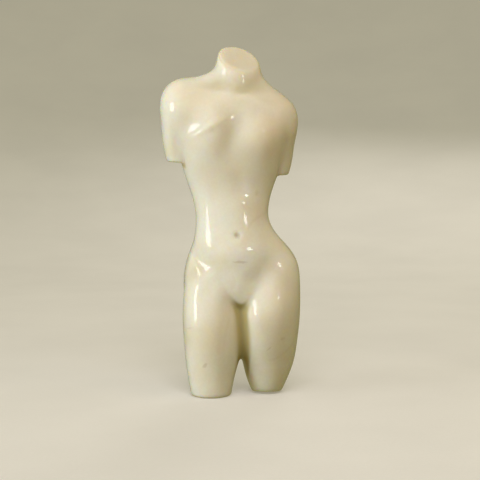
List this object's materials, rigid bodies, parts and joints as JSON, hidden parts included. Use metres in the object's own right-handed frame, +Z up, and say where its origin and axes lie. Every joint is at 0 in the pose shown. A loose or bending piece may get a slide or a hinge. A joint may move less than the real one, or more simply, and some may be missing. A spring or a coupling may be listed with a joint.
{
  "type": "female torso sculpture",
  "caption": "Polished pale stone figure of a nude female torso from neck to mid-thigh, with upper arms cut short, in one carved piece that stands on its cut thighs.",
  "frame": {"origin": "middle of the figure's outline in plan, on the level of the two cut thigh ends that it stands on", "axes": "+Z up along the figure, which faces -Y; the figure's own right side is at -X and its left side at +X"},
  "size_m": [0.1435, 0.0892, 0.3556],
  "materials": {
    "stone": "polished"
  },
  "bodies": {
    "root": {"torso": "stone"}
  },
  "joints": []
}
